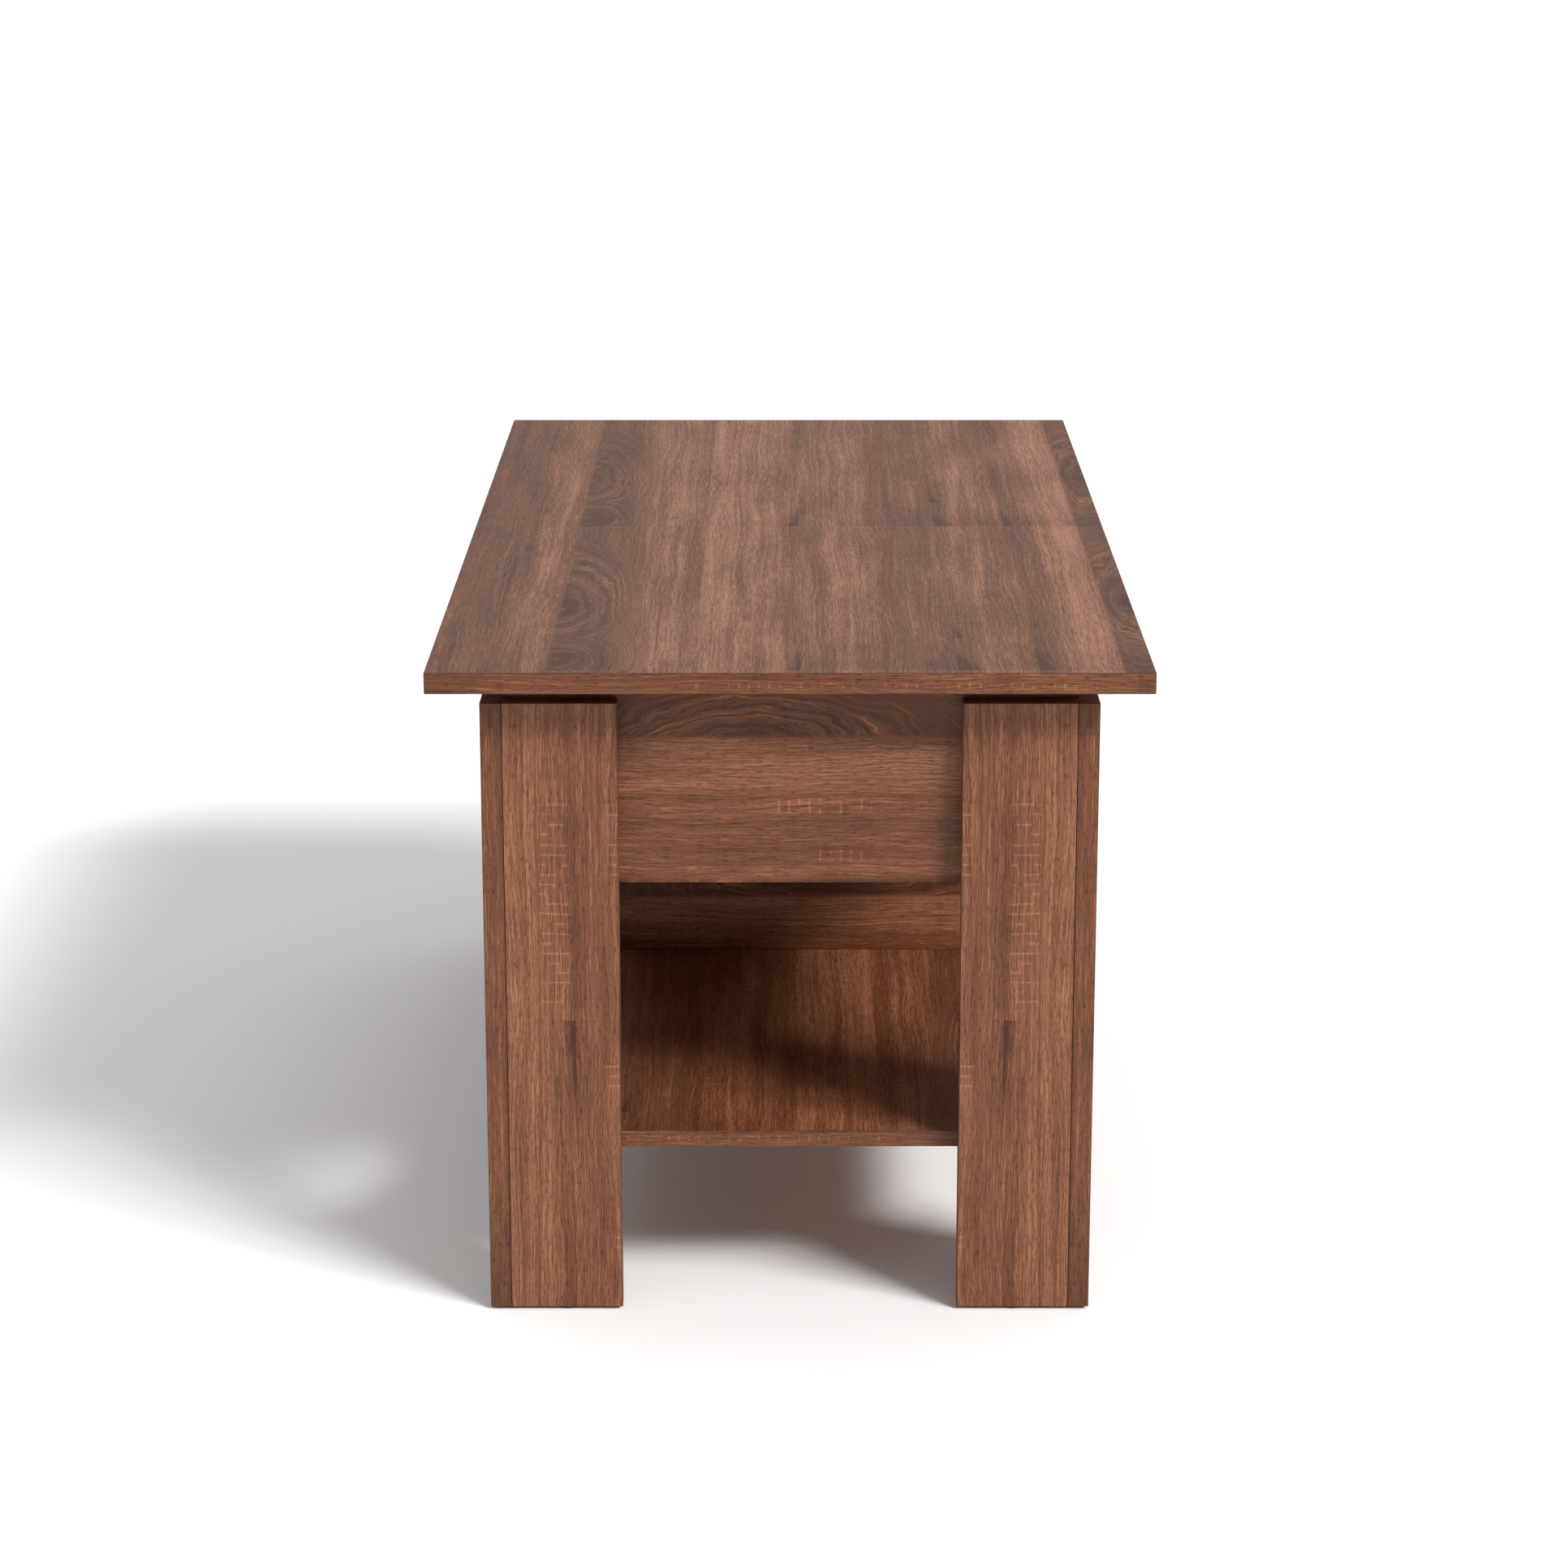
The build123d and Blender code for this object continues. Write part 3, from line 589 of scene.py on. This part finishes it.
# Beech is a pale, close-grained wood. Short dark flecks are what the eye picks out on it.
beech, tree = material("turned_beech")
place = add(tree, "TexCoord", out="Object")
place = add(tree, "VectorMath", {0: place, "Scale": 1 / MM / BEECH_FLECK}, operation="SCALE")
flecks = add(tree, "TexNoise", {"Vector": place, "Scale": 1, "Detail": 3, "Roughness": 0.6})
colour = add(tree, "ValToRGB", {0: flecks}, stops=[(0.35, BEECH_DARK), (0.6, BEECH_PALE)])
relief = add(tree, "Bump", {"Height": flecks, "Strength": 0.3, "Distance": 0.1 * MM})
surface = add(
    tree, "BsdfPrincipled", {"Base Color": colour, "Roughness": 0.65, "Normal": relief, "IOR": 1.5}
)
add(tree, "OutputMaterial", {"Surface": surface}, out=None)
finish_with(beech, "leg_dowels", "panel_dowels", "floor_dowels")

# ------------------------------------------------------------------------------------------------
# Glides and bumpers: moulded plastic glides nailed under the legs, and small rubber bumpers on the
# box's rim, which the top comes down on.

MOULD_SPARK = 0.35  # mm, the pits of the mould's spark-eroded finish, drawn ten times too coarse
DULL_RANGE = 0.12  # how far the pits move the roughness either way
GLIDE_BLACK = "1d1c1d"
BUMPER_GREY = "4a4848"


def moulded(name, colour, roughness, depth):
    """Plastic or rubber from a spark-eroded mould: an even colour, with a fine dull pitting of a
    depth in millimetres."""
    made, tree = material(name)
    place = add(tree, "TexCoord", out="Object")
    place = add(tree, "VectorMath", {0: place, "Scale": 1 / MM / MOULD_SPARK}, operation="SCALE")
    pits = add(tree, "TexNoise", {"Vector": place, "Scale": 1, "Detail": 2})
    dull = add(
        tree,
        "MapRange",
        {"Value": pits, "To Min": roughness - DULL_RANGE, "To Max": roughness + DULL_RANGE},
    )
    relief = add(tree, "Bump", {"Height": pits, "Strength": 0.4, "Distance": depth * MM})
    surface = add(
        tree,
        "BsdfPrincipled",
        {"Base Color": linear(colour), "Roughness": dull, "Normal": relief, "IOR": 1.5},
    )
    add(tree, "OutputMaterial", {"Surface": surface}, out=None)
    return made


polyethylene = moulded("moulded_black_polyethylene", GLIDE_BLACK, roughness=0.45, depth=0.03)
finish_with(polyethylene, "leg_glides")
rubber = moulded("moulded_grey_rubber", BUMPER_GREY, roughness=0.7, depth=0.05)
finish_with(rubber, "rim_bumpers")

# ------------------------------------------------------------------------------------------------
# Fasteners: steel screws, cam bolts and pivot pins, die-cast cam locks and pressed shelf brackets,
# all plated with bright zinc.

ZINC_SPANGLE = 4  # mm, the soft patches where the plating varies
ZINC_LIGHT = "cdd0d2"
ZINC_DARK = "a9adb1"

# Zinc plating is a slightly blue, satin metal. Cloudy patches break up its reflections.
zinc, tree = material("zinc_plated_steel")
place = add(tree, "TexCoord", out="Object")
place = add(tree, "VectorMath", {0: place, "Scale": 1 / MM / ZINC_SPANGLE}, operation="SCALE")
patches = add(tree, "TexNoise", {"Vector": place, "Scale": 1, "Detail": 4, "Roughness": 0.65})
colour = add(tree, "ValToRGB", {0: patches}, stops=[(0.35, ZINC_DARK), (0.65, ZINC_LIGHT)])
satin = add(tree, "MapRange", {"Value": patches, "To Min": 0.24, "To Max": 0.46})
relief = add(tree, "Bump", {"Height": patches, "Strength": 0.25, "Distance": 0.05 * MM})
surface = add(
    tree,
    "BsdfPrincipled",
    {"Base Color": colour, "Metallic": 1, "Roughness": satin, "Normal": relief},
)
add(tree, "OutputMaterial", {"Surface": surface}, out=None)
finish_with(
    zinc,
    "leg_screws",
    "cam_locks",
    "cam_bolts",
    "divider_screws",
    "shelf_brackets",
    "shelf_bracket_screws",
    "lift_plate_screws",
    "top_rail_screws",
    "base_pivot_pins",
    "top_pivot_pins",
    "spring_posts",
    "spring_pin_near",
    "spring_pin_far",
)

# ------------------------------------------------------------------------------------------------
# Lift linkage: plates, arms and rails pressed from steel strip, and the bar that makes both ends
# swing together, all powder coated black.

PEEL_PITCH = 1.6  # mm, the ripple of the baked powder
POWDER_BLACK = "1b1b1d"

# Powder coat is an even satin black. Its ripple, like orange peel, softens every highlight.
powder, tree = material("black_powder_coat")
place = add(tree, "TexCoord", out="Object")
place = add(tree, "VectorMath", {0: place, "Scale": 1 / MM / PEEL_PITCH}, operation="SCALE")
ripple = add(tree, "TexNoise", {"Vector": place, "Scale": 1, "Detail": 1})
dull = add(tree, "MapRange", {"Value": ripple, "To Min": 0.34, "To Max": 0.5})
relief = add(tree, "Bump", {"Height": ripple, "Strength": 0.5, "Distance": 0.06 * MM})
surface = add(
    tree,
    "BsdfPrincipled",
    {"Base Color": linear(POWDER_BLACK), "Roughness": dull, "Normal": relief, "IOR": 1.5},
)
add(tree, "OutputMaterial", {"Surface": surface}, out=None)
finish_with(powder, "sync_bar")
for end in ("near", "far"):
    finish_with(powder, f"lift_base_plate_{end}", f"top_rail_{end}")
    finish_with(powder, f"front_arm_{end}", f"rear_arm_{end}")

# ------------------------------------------------------------------------------------------------
# Lift springs: one at each end, close wound from hard-drawn wire, with a hook round the post on
# the base plate and another round the pin on the rear arm's tail. They hold the raised top up.

WIRE = 1.6  # mm
COIL_RADIUS = 4.6  # mm, to the middle of the wire
COIL_PITCH = 2.15  # mm; with the top down the coils stand a little apart
HOOK_GAP = 0.15  # mm, between the hook and what it holds, with the top raised
HOOK_OPEN = 50  # degrees either side of the hook's mouth
TAIL = 5  # mm, from the hook's middle to the first coil, beyond the post's own radius
PIN_TRAVEL = 32.8  # mm, that the pin moves towards the post as the top is raised
COIL_STEPS = 20  # points to a turn
HOOK_STEPS = 14  # lengths to a hook
WIRE_DARK = "6f7276"
WIRE_LIGHT = "96999d"


def middle_and_radius(node, end):
    """The axis of a round post or pin that lies along Y, in X and Z, and its radius."""
    points = [v.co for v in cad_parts[node].data.vertices if v.co.y * end > 0]
    low = [min(p[i] for p in points) for i in (0, 2)]
    high = [max(p[i] for p in points) for i in (0, 2)]
    return (low[0] + high[0]) / 2, (low[1] + high[1]) / 2, (high[1] - low[1]) / 2


def hook(centre, radius, keep, facing):
    """Points of a hook round a post. It is a long oval, which the shortened spring makes round.
    facing is 1 where the coils lie towards +X."""
    long_radius = (radius - WIRE / 2 * MM) / keep + WIRE / 2 * MM
    points = []
    for step in range(HOOK_STEPS + 1):
        turn = HOOK_OPEN + (360 - 2 * HOOK_OPEN) * step / HOOK_STEPS
        turn = math.radians(turn)
        points.append(
            (centre[0] + facing * long_radius * math.cos(turn), centre[1] + radius * math.sin(turn))
        )
    return points


# Hard-drawn wire is a darker, brighter-polished metal than the plating round it.
wire_steel, tree = material("hard_drawn_spring_wire")
place = add(tree, "TexCoord", out="Object")
place = add(tree, "VectorMath", {0: place, "Scale": 1 / MM / WIRE}, operation="SCALE")
draw_marks = add(tree, "TexNoise", {"Vector": place, "Scale": 1, "Detail": 3})
colour = add(tree, "ValToRGB", {0: draw_marks}, stops=[(0.35, WIRE_DARK), (0.65, WIRE_LIGHT)])
satin = add(tree, "MapRange", {"Value": draw_marks, "To Min": 0.2, "To Max": 0.36})
surface = add(tree, "BsdfPrincipled", {"Base Color": colour, "Metallic": 1, "Roughness": satin})
add(tree, "OutputMaterial", {"Surface": surface}, out=None)

for end_name, end in (("near", -1), ("far", 1)):
    low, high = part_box(f"lift_spring_{end_name}")
    middle_y = (low[1] + high[1]) / 2
    post_x, level, post_radius = middle_and_radius("spring_posts", end)
    pin_x, _, pin_radius = middle_and_radius(f"spring_pin_{end_name}", end)
    keep = 1 - PIN_TRAVEL * MM / (pin_x - post_x)
    post_hook = post_radius + (WIRE / 2 + HOOK_GAP) * MM
    pin_hook = pin_radius + (WIRE / 2 + HOOK_GAP) * MM
    first = post_x + post_hook + TAIL * MM
    last = pin_x - pin_hook - TAIL * MM
    turns = round((last - first) / (COIL_PITCH * MM))
    route = [(x, middle_y, z) for x, z in hook((post_x, level), post_hook, keep, 1)]
    for step in range(turns * COIL_STEPS + 1):
        turn = 2 * math.pi * step / COIL_STEPS
        reach = COIL_RADIUS * MM
        x = first + (last - first) * step / (turns * COIL_STEPS)
        route.append((x, middle_y + reach * math.sin(turn), level - reach * math.cos(turn)))
    route += [(x, middle_y, z) for x, z in reversed(hook((pin_x, level), pin_hook, keep, -1))]

    curve = bpy.data.curves.new("spring_wire", "CURVE")
    curve.dimensions = "3D"
    curve.bevel_depth = WIRE / 2 * MM
    curve.bevel_resolution = 3
    curve.use_fill_caps = True
    spline = curve.splines.new("POLY")
    spline.points.add(len(route) - 1)
    for point, place in zip(spline.points, route):
        point.co = (*place, 1)
    drawn = bpy.data.objects.new("spring_wire", curve)
    scene.collection.objects.link(drawn)
    coil_mesh = bpy.data.meshes.new_from_object(drawn)
    bpy.data.objects.remove(drawn)
    for face in coil_mesh.polygons:
        face.use_smooth = True
    coil_mesh.materials.clear()
    coil_mesh.materials.append(wire_steel)
    spring = bpy.data.objects.new(f"lift_spring_coil_{end_name}", coil_mesh)
    scene.collection.objects.link(spring)
    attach(spring, "base")
    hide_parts(f"lift_spring_{end_name}")
    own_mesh(spring)
